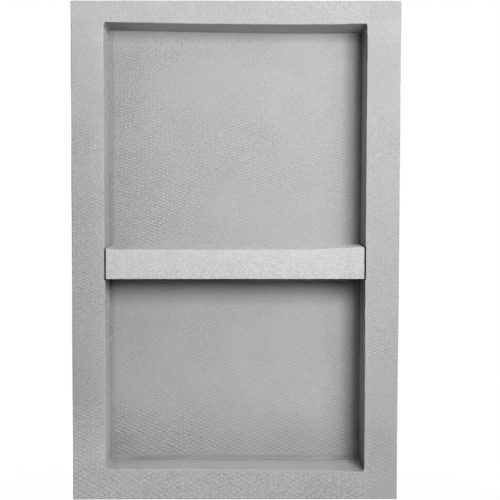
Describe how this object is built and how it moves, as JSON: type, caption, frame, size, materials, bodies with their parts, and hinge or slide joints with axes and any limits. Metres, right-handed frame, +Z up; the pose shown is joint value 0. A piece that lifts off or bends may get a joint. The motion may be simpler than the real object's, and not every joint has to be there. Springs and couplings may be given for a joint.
{
  "type": "shower niche insert",
  "caption": "Tile-ready recessed wall niche with a flat flange, an open box and a sloped shelf across the middle, for holding bottles in a shower wall.",
  "frame": {"origin": "middle of the flange's rear face, the face that lies against the studs", "axes": "+X to the right as seen from the room, +Y into the wall, +Z up; the open front faces -Y"},
  "size_m": [0.4, 0.1015, 0.61],
  "materials": {
    "body_coat": "mid-grey polymer-cement coat over fleece, matte, with a fine staggered lattice texture",
    "shelf_coat": "light grey polymer-cement coat, matte, with a sandy grain"
  },
  "bodies": {
    "root": {"niche_body": "body_coat", "shelf": "shelf_coat"}
  },
  "joints": []
}
